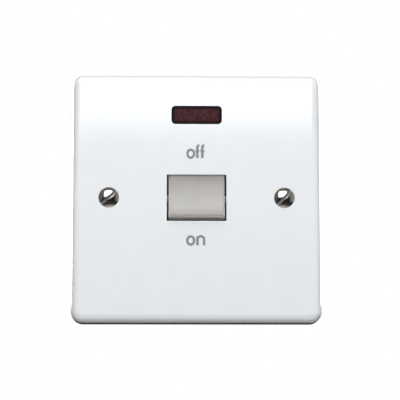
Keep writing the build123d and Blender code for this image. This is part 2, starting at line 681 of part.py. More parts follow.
def lamp_tray():
    """Tray on two pegs of the plate, with two saddles that hold the lamp."""
    centre = (0, lens_rise)
    back_y = -TRAY_BACK
    tray_front_y = back_y - TRAY_THICKNESS
    body = slab(TRAY_WIDTH, TRAY_HEIGHT, LENS_CORNER, (tray_front_y, back_y), centre)
    saddle_half = LAMP_RADIUS + SADDLE_OVER_LAMP
    for x in (-SADDLE_OFFSET, SADDLE_OFFSET):
        saddle = block(
            (x - SADDLE_THICKNESS / 2, x + SADDLE_THICKNESS / 2),
            (lamp_y, tray_front_y),
            (lens_rise - saddle_half, lens_rise + saddle_half),
        )
        body += saddle
    body -= rod((-LAMP_LENGTH, lamp_y, lens_rise), (LAMP_LENGTH, lamp_y, lens_rise), LAMP_RADIUS)
    for x in (-PEG_OFFSET, PEG_OFFSET):
        body -= rod((x, tray_front_y - CUT_PAST, lens_rise), (x, back_y + CUT_PAST, lens_rise), PEG_RADIUS)
    return body


def neon_lamp():
    """Glass lamp: a round tube with a domed end and a flat pinched end for its leads."""
    half = LAMP_LENGTH / 2
    body = rod((-half + LAMP_RADIUS, lamp_y, lens_rise), (half, lamp_y, lens_rise), LAMP_RADIUS)
    body += Pos(-half + LAMP_RADIUS, lamp_y, lens_rise) * Sphere(LAMP_RADIUS)
    pinch = block(
        (half, half + PINCH_LENGTH),
        (lamp_y - LEAD_RADIUS, lamp_y + LEAD_RADIUS),
        (lens_rise - LEAD_SPREAD - LEAD_RADIUS, lens_rise + LEAD_SPREAD + LEAD_RADIUS),
    )
    return body + pinch


def resistor():
    z = lens_rise - RESISTOR_DROP
    half = RESISTOR_LENGTH / 2
    body = rod((-half, lamp_y, z), (half, lamp_y, z), RESISTOR_RADIUS)
    return chamfer(body.edges().filter_by(GeomType.CIRCLE), RESISTOR_EDGE)


def lead(points):
    """Insulated wire of fine flatted section: straight runs joined by tight bends."""
    path = FilletPolyline(*points, radius=LEAD_BEND)
    section = Plane(origin=path @ 0, z_dir=path % 0) * RegularPolygon(LEAD_RADIUS, LEAD_FLAT_COUNT)
    return sweep(section, path=path)


def landing(side):
    """The last stretch of a lead: down the plate, then back to the terminal strip."""
    x = side * LEAD_RUN_X
    return [(x, lamp_y, lead_landing_z), (x, strip_front_y, lead_landing_z)]


def neon_leads():
    """The three wires that join the lamp and the resistor to the two upper strips."""
    lamp_end = LAMP_LENGTH / 2 + PINCH_LENGTH
    high = lens_rise + LEAD_SPREAD
    low = lens_rise - LEAD_SPREAD
    resistor_z = lens_rise - RESISTOR_DROP
    turn_x = lamp_end + LEAD_TURN
    right = lead([(lamp_end, lamp_y, high), (LEAD_RUN_X, lamp_y, high), *landing(1)])
    link = lead([
        (lamp_end, lamp_y, low),
        (turn_x, lamp_y, low),
        (turn_x, lamp_y, resistor_z),
        (RESISTOR_LENGTH / 2, lamp_y, resistor_z),
    ])
    left = lead([
        (-RESISTOR_LENGTH / 2, lamp_y, resistor_z),
        (-LEAD_RUN_X, lamp_y, resistor_z),
        *landing(-1),
    ])
    return {"neon_lead_neutral": right, "neon_lead_link": link, "neon_lead_live": left}


def group(parts):
    return Compound(children=[solid for part in parts for solid in part.solids()])


nodes = {
    "front_plate": front_plate(),
    "rocker": rocker(),
    "rear_housing": rear_housing(),
    "neon_lens": neon_lens(),
    "neon_lamp": neon_lamp(),
    "neon_resistor": resistor(),
    "lamp_tray": lamp_tray(),
    "mounting_screws": group([
        mounting_screw(-fixing_x, LEFT_SLOT_ANGLE),
        mounting_screw(fixing_x, RIGHT_SLOT_ANGLE),
    ]),
    "terminal_screws": group([terminal_screw(s, e) for s in POLES.values() for e in ENDS.values()]),
    "housing_screws": group([housing_screw(s, e) for s in POLES.values() for e in ENDS.values()]),
}
nodes.update(neon_leads())
for name, side in POLES.items():
    nodes["plunger_" + name] = plunger(side)
    nodes["plunger_spring_" + name] = plunger_spring(side)
    nodes["moving_contact_" + name] = moving_contact(side)
    nodes["moving_rivet_" + name] = moving_rivet(side)
    nodes["fixed_contact_" + name] = fixed_contact(side)
    nodes["fixed_rivet_" + name] = fixed_rivet(side)
    nodes["pivot_contact_" + name] = pivot_contact(side)
    for end_name, end in ENDS.items():
        nodes["terminal_" + end_name + "_" + name] = terminal(side, end)

os.makedirs("parts", exist_ok=True)
for name, part in nodes.items():
    export_step(part, "parts/" + name + ".step")
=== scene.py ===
import bmesh
import bpy
import json
import math
from mathutils import Matrix, Vector

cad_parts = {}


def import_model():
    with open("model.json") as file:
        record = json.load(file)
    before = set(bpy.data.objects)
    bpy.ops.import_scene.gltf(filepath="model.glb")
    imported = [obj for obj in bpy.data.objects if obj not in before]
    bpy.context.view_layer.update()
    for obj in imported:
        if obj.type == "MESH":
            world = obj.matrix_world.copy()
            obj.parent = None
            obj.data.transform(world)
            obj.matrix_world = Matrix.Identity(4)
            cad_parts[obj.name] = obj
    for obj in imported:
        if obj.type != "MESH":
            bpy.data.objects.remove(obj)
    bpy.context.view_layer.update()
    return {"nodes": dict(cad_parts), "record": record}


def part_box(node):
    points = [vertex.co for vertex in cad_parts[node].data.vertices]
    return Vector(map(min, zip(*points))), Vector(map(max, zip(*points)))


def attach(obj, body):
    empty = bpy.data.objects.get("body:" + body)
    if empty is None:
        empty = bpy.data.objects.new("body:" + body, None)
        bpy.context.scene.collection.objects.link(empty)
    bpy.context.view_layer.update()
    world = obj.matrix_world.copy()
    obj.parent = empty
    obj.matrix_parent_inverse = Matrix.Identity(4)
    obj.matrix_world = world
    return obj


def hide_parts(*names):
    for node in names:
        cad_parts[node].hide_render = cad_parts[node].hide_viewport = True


# The looks of a flush double pole switch: finishes, lettering, screw threads, studio and camera.
# Lengths are in metres in the model's own frame: X right, Y into the wall, Z up. Angles are in degrees.

MM = 0.001

# Where the photograph shows things, in pixels of its 400 by 400 frame
PHOTO_SIZE = 400
PHOTO_CENTRE_X = 196.65
PHOTO_CENTRE_Y = 197.7
PIXELS_PER_MM = 2.915

# Camera; the width of its sensor is in millimetres
CAMERA_DISTANCE = 0.58
CAMERA_AZIMUTH = -1.3
CAMERA_ELEVATION = -7.2
SENSOR_WIDTH = 36.0
NEAREST_SEEN = 0.01

# Lettering: the stroke's width, its rise above the plate, how finely its curves are cut, and the
# angles from a circle's right-hand side at which arches and hooks start and end
LETTER_STROKE = 0.90 * MM
LETTER_RISE = 0.03 * MM
STROKE_EDGE_STEPS = 3
RING_POINTS = 48
HOOK_STEPS = 10
ARCH_STEPS = 16
LEFT_SIDE = 180
RIGHT_SIDE = 0
HOOK_END = 85

# Letters f, in pixels of the photograph: heights, and how far the bar and the hook reach sideways
F_TOP = 144.8
F_BAR = 150.5
F_FOOT = 157.7
F_REACH = 1.9

# Places on a noise between which a finish changes, and how far its roughness falls and rises there
NARROW = (0.35, 0.65)
WIDE = (0.30, 0.70)
MOULDED_SWING = (0.85, 1.15)
METAL_SWING = (0.75, 1.35)

# Orange peel of the polished mouldings
PEEL_SIZE = 1.6 * MM
PEEL_DEPTH = 0.012 * MM
PEEL_STRENGTH = 0.12

# Red window: its pattern, the hidden flange round it, and the painted shadow that darkens it towards its edge
LENS_FACET = 0.9 * MM
LENS_CLOUD_SHARE = 0.7
LENS_REDS = ((0.30, (0.032, 0.008, 0.010)), (0.80, (0.042, 0.010, 0.0135)), (1.0, (0.058, 0.020, 0.024)))
LENS_FLANGE = 1.4 * MM
LENS_RIM = 1.5 * MM
PAINTED_RIM_SHADOW = ((0.0, 0.20), (0.50, 0.24), (1.0, 1.0))

# Rocker: its dished face greyed with painted shade, its walls and rim lightened with painted light, and how
# squarely forward a part looks where they meet
ROCKER_SHADED_FACE = (0.272, 0.261, 0.246)
ROCKER_LIT_WALL = (0.74, 0.73, 0.71)
ROCKER_SHADE_TURNS = (0.70, 0.93)

# Resistor: colour bands as shares of its body's length
BAND_WIDTH = 0.08
BODY_TAN = (0.50, 0.36, 0.20)
BANDS = (
    (0.16, (0.10, 0.035, 0.012)),
    (0.32, (0.03, 0.16, 0.04)),
    (0.48, (0.65, 0.45, 0.03)),
    (0.76, (0.45, 0.28, 0.06)),
)

# Leads
LEAD_RADIUS = 0.45 * MM
LEAD_BEND = 1.0 * MM
LEAD_BEND_STEPS = 8
LEAD_EDGE_STEPS = 6
LEAD_SHARP = 50

# Softened edges, and the welding of the housing and the lamp tray before their edges are softened
EDGE_SEGMENTS = 2
WELD_REACH = 0.0005 * MM
SOFT_EDGE = 0.15 * MM
SOFT_EDGE_ANGLE = 40

# Mounting screws: the skin is rings of corners round the axis, several to each turn of the thread
THREAD_PITCH = 0.6 * MM
THREAD_DEPTH = 0.36 * MM
RINGS_PER_PITCH = 8
HEAD_RINGS = 14
SCREW_SIDES = 48
SCREW_RADIANS = [math.tau * i / SCREW_SIDES for i in range(SCREW_SIDES)]
SLOT_WIDTH = 1.0 * MM
SLOT_DEPTH = 1.1 * MM
SLOT_ANGLES = {-1: 41.0, 1: 46.0}
DOME_RISE = 0.9 * MM
COUNTERSINK_RADIUS = 3.7 * MM
FIXING_X = 30.15 * MM
HEAD_RADIUS = 3.55 * MM
NECK_RADIUS = 1.55 * MM
SHANK_RADIUS = 1.75 * MM
SCREW_EDGE = 0.05 * MM
SCREW_EDGE_ANGLE = 55
SCREW_SHARP = 35

# Painted shade in the driver slots: where the unshaded dome ends and the unshaded shank starts, as shares of
# a depth below the plate's face, and how squarely forward a face of the dome has to look
SLOT_SHADE = (0.20, 0.195, 0.185)
SLOT_SHADE_ROUGHNESS = 0.6
SLOT_SHADE_DEPTH = 4 * MM
DOME_ENDS = (0.05, 0.08)
SHANK_STARTS = (0.22, 0.30)
DOME_TURNS = (0.45, 0.65)

# Light panel behind the camera
PANEL_Y = -1.5
PANEL_LOW = 0.257
PANEL_FULL = 0.306
PANEL_TOP = 1.4
PANEL_LEFT = -0.9
PANEL_RIGHT = 0.65
PANEL_FADE = 0.3
PANEL_STRENGTH = 3.2
PANEL_TOP_STRENGTH = 6.0

# Lamps: place, size and power in watts
OBJECT_CENTRE = (0.0, 0.0, 0.0)
OVERHEAD_PLACE = (0.05, -0.60, 1.60)
OVERHEAD_SIZE = (1.4, 1.1)
OVERHEAD_POWER = 21.0
OVERHEAD_COLOUR = (1.0, 0.99, 0.97)
FILL_PLACE = (0.0, -1.0, -0.17)
FILL_SIZE = (0.5, 0.1)
FILL_POWER = 2.7
BACK_PLACE = (0.9, 1.1, 0.35)
BACK_TARGET = (0.0, 0.02, 0.0)
BACK_SIZE = (0.6, 0.6)
BACK_POWER = 9.0

# Room: greys from straight down (0) to straight up (1), and the paler walls at both sides
WHITE = (1.0, 1.0, 1.0)
BACKGROUND = 1.0
ROOM_STRENGTH = 1.0
ROOM_BELOW = (0.42, 0.41, 0.40)
ROOM_LEVEL = (0.010, 0.010, 0.010)
ROOM_ABOVE = (0.16, 0.16, 0.16)
ROOM_HEIGHTS = (
    (0.0, ROOM_BELOW), (0.28, ROOM_BELOW), (0.36, ROOM_LEVEL), (0.55, ROOM_LEVEL), (0.66, ROOM_ABOVE),
)
ROOM_LEFT = (0.17, 0.175, 0.19)
ROOM_RIGHT = (0.36, 0.37, 0.39)
SIDE_STARTS = 0.45
SIDE_FULL = 0.75
BEHIND_STARTS = 0.10
BEHIND_FULL = 0.45

# Floor: for all rays but the camera's it is pale in front of the plate and dark elsewhere
FLOOR_LEVEL = -0.12
FLOOR_RADIUS = 0.55
FLOOR_SIDES = 128
FLOOR_SEEN = (0.93, 0.93, 0.93)
FLOOR_NEAR = (0.62, 0.61, 0.59)
FLOOR_FAR = (0.03, 0.03, 0.03)
FLOOR_FRONT = -0.06
FLOOR_BEHIND = -0.01
NEAR_ENDS = 0.20 * FLOOR_RADIUS
FAR_STARTS = 0.42 * FLOOR_RADIUS
RIM_STARTS = 0.25 * FLOOR_RADIUS
RIM_FULL = 0.95 * FLOOR_RADIUS

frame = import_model()
nodes = frame["nodes"]

FACE_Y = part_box("front_plate")[0].y
RIM_Y = FACE_Y + COUNTERSINK_RADIUS - HEAD_RADIUS
DOME_TOP_Y = RIM_Y - DOME_RISE


class Nodes:
    """A node tree with short helpers for numbers, ranges, ramps and mixes."""

    def __init__(self, tree):
        self.tree = tree

    def new(self, kind):
        return self.tree.nodes.new(kind)

    def feed(self, socket, value):
        """Sets a socket's number or colour, or links another node's output to it."""
        if isinstance(value, (int, float)):
            socket.default_value = value
        elif isinstance(value, tuple):
            socket.default_value = (*value, 1.0)
        else:
            self.tree.links.new(value, socket)

    def axes(self, vector):
        """The parts of a vector, by the name of their axis."""
        node = self.new("ShaderNodeSeparateXYZ")
        self.feed(node.inputs["Vector"], vector)
        return node.outputs

    def maths(self, operation, first, second=0.0):
        node = self.new("ShaderNodeMath")
        node.operation = operation
        for socket, value in zip(node.inputs, (first, second)):
            self.feed(socket, value)
        return node.outputs["Value"]

    def vector_maths(self, operation, *vectors):
        node = self.new("ShaderNodeVectorMath")
        node.operation = operation
        for socket, vector in zip(node.inputs, vectors):
            self.feed(socket, vector)
        return node.outputs

    def span(self, value, start, end, height=1.0, shape="SMOOTHSTEP"):
        """Climbs from nothing where the value is at its start to the height where it is at its end."""
        node = self.new("ShaderNodeMapRange")
        node.interpolation_type = shape
        for name, number in (("From Min", start), ("From Max", end), ("To Max", height)):
            node.inputs[name].default_value = number
        self.feed(node.inputs["Value"], value)
        return node.outputs["Result"]

    def ramp(self, factor, stops, interpolation="LINEAR"):
        """Colours or greys along a factor; a stop is a place and a colour."""
        node = self.new("ShaderNodeValToRGB")
        node.color_ramp.interpolation = interpolation
        elements = node.color_ramp.elements
        while len(elements) < len(stops):
            elements.new(0.5)
        for element, (place, colour) in zip(elements, stops):
            element.position = place
            element.color = (*colour, 1.0) if isinstance(colour, tuple) else (colour, colour, colour, 1.0)
        self.feed(node.inputs["Fac"], factor)
        return node.outputs["Color"]

    def blend(self, factor, places, first, last):
        """Runs from one colour or grey to another between two places of a factor."""
        return self.ramp(factor, [(places[0], first), (places[1], last)])

    def mix(self, factor, first, second):
        """Two colours mixed by a factor."""
        node = self.new("ShaderNodeMixRGB")
        for name, value in (("Fac", factor), ("Color1", first), ("Color2", second)):
            self.feed(node.inputs[name], value)
        return node.outputs["Color"]

    def mix_shaders(self, factor, first, second):
        node = self.new("ShaderNodeMixShader")
        for socket, value in zip(node.inputs, (factor, first, second)):
            self.feed(socket, value)
        return node.outputs["Shader"]

    def diffuse(self, colour):
        node = self.new("ShaderNodeBsdfDiffuse")
        self.feed(node.inputs["Color"], colour)
        return node.outputs["BSDF"]

    def glow(self, kind, colour, strength):
        """Light from a surface or from the world."""
        node = self.new(kind)
        self.feed(node.inputs["Color"], colour)
        self.feed(node.inputs["Strength"], strength)
        return node.outputs[0]

    def output(self, kind, surface):
        self.feed(self.new(kind).inputs["Surface"], surface)


class Finish(Nodes):
    """A material of one shader, with helpers for coordinates, noise, colour, gloss and bump."""

    def __init__(self, name):
        self.material = bpy.data.materials.new(name)
        self.material.use_nodes = True
        super().__init__(self.material.node_tree)
        self.shader = self.tree.nodes["Principled BSDF"]
        texture = self.new("ShaderNodeTexCoord")
        self.coordinates = texture.outputs["Object"]
        self.normals = texture.outputs["Normal"]

    def set(self, **values):
        for name, value in values.items():
            self.shader.inputs[name.replace("_", " ")].default_value = value
        return self

    def link(self, output, socket):
        self.feed(self.shader.inputs[socket], output)

    def facing_front(self):
        """How squarely a face looks forward, from 1 straight forward to 0 sideways."""
        return self.maths("MULTIPLY", self.axes(self.normals)["Y"], -1.0)

    def stretched(self, scale):
        """Object coordinates scaled by axis, for brushed or layered patterns."""
        node = self.new("ShaderNodeMapping")
        node.inputs["Scale"].default_value = scale
        self.feed(node.inputs["Vector"], self.coordinates)
        return node.outputs["Vector"]

    def noise(self, size, detail=3.0, rough=0.5, vector=None):
        """Noise whose lumps are about this many metres across."""
        node = self.new("ShaderNodeTexNoise")
        node.inputs["Scale"].default_value = 1.0 / size
        node.inputs["Detail"].default_value = detail
        node.inputs["Roughness"].default_value = rough
        self.feed(node.inputs["Vector"], vector or self.coordinates)
        return node.outputs["Fac"]

    def cells(self, size):
        """Distance to the nearest of many points about this many metres apart."""
        node = self.new("ShaderNodeTexVoronoi")
        node.inputs["Scale"].default_value = 1.0 / size
        self.feed(node.inputs["Vector"], self.coordinates)
        return node.outputs["Distance"]

    def bump(self, height, depth, strength, below=None):
        node = self.new("ShaderNodeBump")
        node.inputs["Strength"].default_value = strength
        node.inputs["Distance"].default_value = depth
        self.feed(node.inputs["Height"], height)
        if below is not None:
            self.feed(node.inputs["Normal"], below)
        return node.outputs["Normal"]

    def orange_peel(self):
        return self.bump(self.noise(PEEL_SIZE, detail=1.0), PEEL_DEPTH, PEEL_STRENGTH)

    def colour(self, factor, places, first, last):
        self.link(self.blend(factor, places, first, last), "Base Color")

    def roughness(self, factor, low, high):
        self.link(self.blend(factor, WIDE, low, high), "Roughness")


def plate_moulding():
    """Moulded white with a faint cloud in its colour and a slight orange peel in its gloss."""
    made = Finish("plate_white")
    made.colour(made.noise(9 * MM, detail=4.0), NARROW, (0.785, 0.812, 0.84), (0.80, 0.825, 0.85))
    made.roughness(made.noise(2.5 * MM), low=0.102, high=0.144)
    peel = made.orange_peel()
    fine = made.bump(made.noise(0.25 * MM, detail=2.0), depth=0.003 * MM, strength=0.15, below=peel)
    made.link(fine, "Normal")
    made.link(peel, "Coat Normal")
    return made.set(Coat_Weight=1.0, Coat_Roughness=0.04).material


def rocker_moulding():
    """White moulding with painted shade greying its dished face and painted light brightening its walls and
    rim.
    """
    made = Finish("rocker_white")
    # Painted shade on the forward-facing dished face, painted light on the walls and rim that face other ways
    made.colour(made.facing_front(), ROCKER_SHADE_TURNS, ROCKER_LIT_WALL, ROCKER_SHADED_FACE)
    made.roughness(made.noise(2.5 * MM), low=0.36, high=0.50)
    made.link(made.orange_peel(), "Normal")
    return made.set(Coat_Weight=0.8, Coat_Roughness=0.16).material


def grey_moulding():
    """Dull grey thermoset with a fine filler speckle and a moulded grain."""
    made = Finish("housing_plastic")
    made.colour(made.noise(0.22 * MM), WIDE, (0.245, 0.245, 0.24), (0.30, 0.30, 0.295))
    made.roughness(made.noise(1.2 * MM), low=0.34, high=0.46)
    grain = made.bump(made.noise(0.3 * MM), depth=0.012 * MM, strength=0.3)
    made.link(made.bump(made.noise(7 * MM, detail=1.0), depth=0.05 * MM, strength=0.1, below=grain), "Normal")
    return made.material


def plain_moulding(name, light, dark, roughness):
    """Unpolished white or nylon moulding."""
    made = Finish(name)
    made.colour(made.noise(3 * MM), NARROW, dark, light)
    smoother, rougher = MOULDED_SWING
    made.roughness(made.noise(0.8 * MM), low=roughness * smoother, high=roughness * rougher)
    made.link(made.bump(made.noise(0.2 * MM), depth=0.008 * MM, strength=0.3), "Normal")
    return made.set(Subsurface_Weight=0.08, Subsurface_Radius=(MM, MM, MM)).material


def metal(name, light, dark, roughness, grain=(1.0, 1.0, 1.0)):
    """Bare or plated metal with tarnish in its colour and drawn or rolled lines."""
    made = Finish(name)
    made.colour(made.noise(1.6 * MM, detail=4.0), WIDE, dark, light)
    lines = made.noise(0.12 * MM, rough=0.6, vector=made.stretched(grain))
    smoother, rougher = METAL_SWING
    made.roughness(lines, low=roughness * smoother, high=roughness * rougher)
    made.link(made.bump(lines, depth=0.006 * MM, strength=0.35), "Normal")
    return made.set(Metallic=1.0).material


def slotted_nickel():
    """Bright nickel on the dome and the shank, with painted shade, grey and dull, on the driver slot's walls
    and floor.
    """
    made = Finish("screw_nickel")
    # Painted shade: below the dome the slot's walls and floor turn grey, dull and unmetallic
    depth = made.maths("DIVIDE", made.maths("SUBTRACT", made.axes(made.coordinates)["Y"], FACE_Y), SLOT_SHADE_DEPTH)
    outward = made.blend(made.facing_front(), DOME_TURNS, 0.0, 1.0)
    dome = made.maths("MULTIPLY", outward, made.blend(depth, DOME_ENDS, 1.0, 0.0))
    bright = made.maths("MAXIMUM", dome, made.blend(depth, SHANK_STARTS, 0.0, 1.0))
    plating = made.blend(made.noise(1.6 * MM, detail=4.0), WIDE, (0.50, 0.48, 0.45), (0.62, 0.60, 0.56))
    made.link(made.mix(bright, SLOT_SHADE, plating), "Base Color")
    made.link(bright, "Metallic")
    wear = made.noise(0.12 * MM, rough=0.6)
    polish = made.blend(wear, WIDE, 0.09, 0.17)
    made.link(made.maths("MAXIMUM", polish, made.maths("SUBTRACT", SLOT_SHADE_ROUGHNESS, bright)), "Roughness")
    made.link(made.bump(wear, depth=0.003 * MM, strength=0.3), "Normal")
    return made.material


def window_red():
    """Dark red window over a moulded pattern of small facets, with painted shadow darkening it round its rim.
    """
    made = Finish("window_red")
    facets = made.cells(LENS_FACET)
    cloud = made.noise(2.2 * MM)
    mottle = made.maths("ADD", facets, made.maths("MULTIPLY", cloud, LENS_CLOUD_SHARE))
    pattern = made.ramp(mottle, LENS_REDS)
    low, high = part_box("neon_lens")
    middle = (low + high) / 2
    place = made.axes(made.coordinates)
    across = made.maths("ABSOLUTE", place["X"])
    along = made.maths("ABSOLUTE", made.maths("SUBTRACT", place["Z"], middle.z))
    from_side = made.maths("SUBTRACT", high.x - LENS_FLANGE, across)
    from_end = made.maths("SUBTRACT", high.z - LENS_FLANGE - middle.z, along)
    depth = made.maths("DIVIDE", made.maths("MINIMUM", from_side, from_end), LENS_RIM)
    # Painted shadow: the window darkens towards its rim
    rim = made.ramp(depth, PAINTED_RIM_SHADOW)
    made.link(made.vector_maths("MULTIPLY", pattern, rim)["Vector"], "Base Color")
    made.link(made.bump(facets, depth=0.05 * MM, strength=0.35), "Normal")
    return made.set(Roughness=0.5, Specular_IOR_Level=0.11).material


def glass():
    """Clear drawn glass of the lamp."""
    made = Finish("lamp_glass")
    made.link(made.bump(made.noise(1.5 * MM), depth=0.02 * MM, strength=0.2), "Normal")
    made.roughness(made.noise(0.8 * MM), low=0.02, high=0.06)
    return made.set(Base_Color=(0.96, 0.97, 0.95, 1.0), Transmission_Weight=1.0, IOR=1.5).material


def sleeve_rubber():
    """Black sleeve of the leads."""
    made = Finish("lead_sleeve")
    made.colour(made.noise(1.0 * MM), WIDE, (0.012, 0.012, 0.013), (0.026, 0.026, 0.028))
    made.roughness(made.noise(0.5 * MM), low=0.35, high=0.5)
    made.link(made.bump(made.noise(0.2 * MM), depth=0.006 * MM, strength=0.3), "Normal")
    return made.material


def resistor_paint():
    """Tan lacquer with four colour bands round the body."""
    made = Finish("resistor_body")
    low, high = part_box("neon_resistor")
    along = made.span(made.axes(made.coordinates)["X"], low.x, high.x, shape="LINEAR")
    stops = [(0.0, BODY_TAN)]
    for start, band in BANDS:
        stops += [(start, band), (start + BAND_WIDTH, BODY_TAN)]
    made.link(made.ramp(along, stops, "CONSTANT"), "Base Color")
    made.link(made.bump(made.noise(0.4 * MM), depth=0.01 * MM, strength=0.3), "Normal")
    return made.set(Roughness=0.32, Coat_Weight=0.3, Coat_Roughness=0.1).material


def letter_ink():
    """Grey print with a slightly uneven tone."""
    made = Finish("letter_ink")
    made.colour(made.noise(0.5 * MM), WIDE, (0.185, 0.190, 0.200), (0.255, 0.26, 0.27))
    made.link(made.bump(made.noise(0.12 * MM), depth=0.004 * MM, strength=0.4), "Normal")
    return made.set(Roughness=0.45).material


materials = {
    "plate_white": plate_moulding(),
    "rocker_white": rocker_moulding(),
    "housing_plastic": grey_moulding(),
    "tray_plastic": plain_moulding("tray_plastic", (0.78, 0.78, 0.75), (0.74, 0.74, 0.71), roughness=0.45),
    "plunger_nylon": plain_moulding("plunger_nylon", (0.80, 0.76, 0.64), (0.76, 0.72, 0.60), roughness=0.40),
    "screw_nickel": slotted_nickel(),
    "screw_zinc": metal("screw_zinc", (0.62, 0.63, 0.62), (0.46, 0.46, 0.44), roughness=0.30),
    "terminal_brass": metal(
        "terminal_brass", (0.80, 0.58, 0.25), (0.62, 0.42, 0.17), roughness=0.28, grain=(1.0, 1.0, 0.15)),
    "contact_copper": metal(
        "contact_copper", (0.80, 0.42, 0.25), (0.60, 0.30, 0.18), roughness=0.30, grain=(1.0, 1.0, 0.1)),
    "contact_silver": metal("contact_silver", (0.82, 0.81, 0.79), (0.62, 0.61, 0.58), roughness=0.22),
    "spring_steel": metal("spring_steel", (0.55, 0.55, 0.56), (0.42, 0.42, 0.43), roughness=0.22),
    "lens_red": window_red(),
    "lamp_glass": glass(),
    "lead_sleeve": sleeve_rubber(),
    "resistor_body": resistor_paint(),
}


def dress(mesh, material):
    """Gives a mesh this material and no other."""
    mesh.materials.clear()
    mesh.materials.append(material)


def finish_node(name, slot):
    """Gives a node of the frame its finish."""
    node = nodes[name]
    dress(node.data, materials[slot])


def link_object(name, data):
    made = bpy.data.objects.new(name, data)
    bpy.context.scene.collection.objects.link(made)
    return made


def mesh_from(bm, name):
    """A mesh with all its faces turned outwards."""
    bmesh.ops.recalc_face_normals(bm, faces=bm.faces)
    mesh = bpy.data.meshes.new(name)
    bm.to_mesh(mesh)
    bm.free()
    return mesh


def evaluated_mesh(holder):
    """The mesh of an object with its modifiers, or of a curve with its thickness."""
    bpy.context.view_layer.update()
    return bpy.data.meshes.new_from_object(holder.evaluated_get(bpy.context.evaluated_depsgraph_get()))


def smooth_up_to(mesh, angle):
    """Smooth shading, but for the edges that turn by more than an angle."""
    mesh.shade_smooth()
    mesh.set_sharp_from_angle(angle=math.radians(angle))


def bevel(node, width, angle):
    """Rounds the edges of a node that turn by more than an angle."""
    edge = node.modifiers.new("edge", "BEVEL")
    edge.width = width
    edge.segments = EDGE_SEGMENTS
    edge.limit_method = "ANGLE"
    edge.angle_limit = math.radians(angle)
    return edge


def round_bar(name, places, radius, edge_steps, closed=False):
    """The mesh of a round bar along a line of places."""
    curve = bpy.data.curves.new(name, "CURVE")
    curve.dimensions = "3D"
    curve.bevel_depth = radius
    curve.bevel_resolution = edge_steps
    curve.use_fill_caps = True
    spline = curve.splines.new("POLY")
    spline.points.add(len(places) - 1)
    for point, place in zip(spline.points, places):
        point.co = (*place, 1.0)
    spline.use_cyclic_u = closed
    holder = link_object(name, curve)
    mesh = evaluated_mesh(holder)
    bpy.data.objects.remove(holder)
    return mesh


def photo_point(x, y):
    """Millimetres right of and above the plate's centre, from a pixel of the photograph."""
    return (x - PHOTO_CENTRE_X) / PIXELS_PER_MM, (PHOTO_CENTRE_Y - y) / PIXELS_PER_MM


def arc(centre, radii, start, end, steps):
    """Points along an ellipse from one angle to another, in degrees from the right."""
    angles = [math.radians(start + (end - start) * i / steps) for i in range(steps + 1)]
    return [(centre[0] + radii[0] * math.cos(a), centre[1] + radii[1] * math.sin(a)) for a in angles]


def stroke(name, points, closed=False):
    """One printed stroke of a letter: a flat ribbon with round edges that lies on the plate."""
    places = [(x * MM, 0.0, z * MM) for x, z in points]
    mesh = round_bar(name, places, LETTER_STROKE / 2, STROKE_EDGE_STEPS, closed)
    mesh.transform(Matrix.Scale(2 * LETTER_RISE / LETTER_STROKE, 4, Vector((0, 1, 0))))
    mesh.transform(Matrix.Translation((0, FACE_Y, 0)))
    mesh.shade_smooth()
    made = link_object(name, mesh)
    dress(mesh, ink)
    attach(made, "base")


def letter_o(name, x, y, half_width, half_height):
    """A ring round a pixel of the photograph."""
    radii = (half_width / PIXELS_PER_MM, half_height / PIXELS_PER_MM)
    stroke(name, arc(photo_point(x, y), radii, 0, 360, RING_POINTS)[:-1], closed=True)


def letter_f(name, x):
    """A stem with a hook at its top, and a crossbar that reaches to both sides."""
    stem, foot = photo_point(x, F_FOOT)
    head = photo_point(x, F_TOP)[1]
    bar = photo_point(x, F_BAR)[1]
    reach = F_REACH / PIXELS_PER_MM
    hook = arc((stem + reach, head - reach), (reach, reach), LEFT_SIDE, HOOK_END, HOOK_STEPS)
    stroke(name + "_stem", [(stem, foot)] + hook)
    stroke(name + "_bar", [(stem - reach, bar), (stem + reach, bar)])


def letter_n(name, left_x, right_x, top, bottom):
    """A straight stem and a round arch that runs down into the second stem."""
    left, foot = photo_point(left_x, bottom)
    right, head = photo_point(right_x, top)
    half = (right - left) / 2
    arch = arc((left + half, head - half), (half, half), LEFT_SIDE, RIGHT_SIDE, ARCH_STEPS)
    stroke(name + "_stem", [(left, foot), (left, head)])
    stroke(name + "_arch", arch + [(right, foot)])


def lettering():
    """The words off and on, placed by pixels of the photograph."""
    letter_o("off_o", x=190.7, y=153.2, half_width=3.3, half_height=4.0)
    letter_f("off_f_first", x=197.3)
    letter_f("off_f_second", x=202.3)
    letter_o("on_o", x=190.7, y=240.7, half_width=3.4, half_height=4.1)
    letter_n("on_n", left_x=197.5, right_x=204.1, top=236.4, bottom=245.6)


def head_profile():
    """Radius and depth of the rings of a mounting screw's head, from its dome to its neck."""
    ball = (HEAD_RADIUS ** 2 + DOME_RISE ** 2) / (2 * DOME_RISE)
    rings = []
    for i in range(1, HEAD_RINGS + 1):
        radius = HEAD_RADIUS * i / HEAD_RINGS
        rings.append((radius, DOME_TOP_Y + ball - math.sqrt(ball ** 2 - radius ** 2)))
    rings.append((NECK_RADIUS, RIM_Y + HEAD_RADIUS - NECK_RADIUS))
    rings.append((NECK_RADIUS, 0.0))
    return rings


def threaded_radius(angle, y, tip_y):
    """Radius of the screw's skin at one angle and depth: a V thread that fades out at both ends."""
    phase = (y / THREAD_PITCH - angle / math.tau) % 1.0
    ridge = 1.0 - abs(2.0 * phase - 1.0)
    fade = min(1.0, y / THREAD_PITCH, (tip_y - y) / THREAD_PITCH)
    return SHANK_RADIUS - THREAD_DEPTH * (1.0 - max(0.0, ridge) * max(0.0, fade))


def add_ring(bm, radii, y):
    """A ring of corners at one depth, with a radius for each corner."""
    return [bm.verts.new((r * math.cos(a), y, r * math.sin(a))) for r, a in zip(radii, SCREW_RADIANS)]


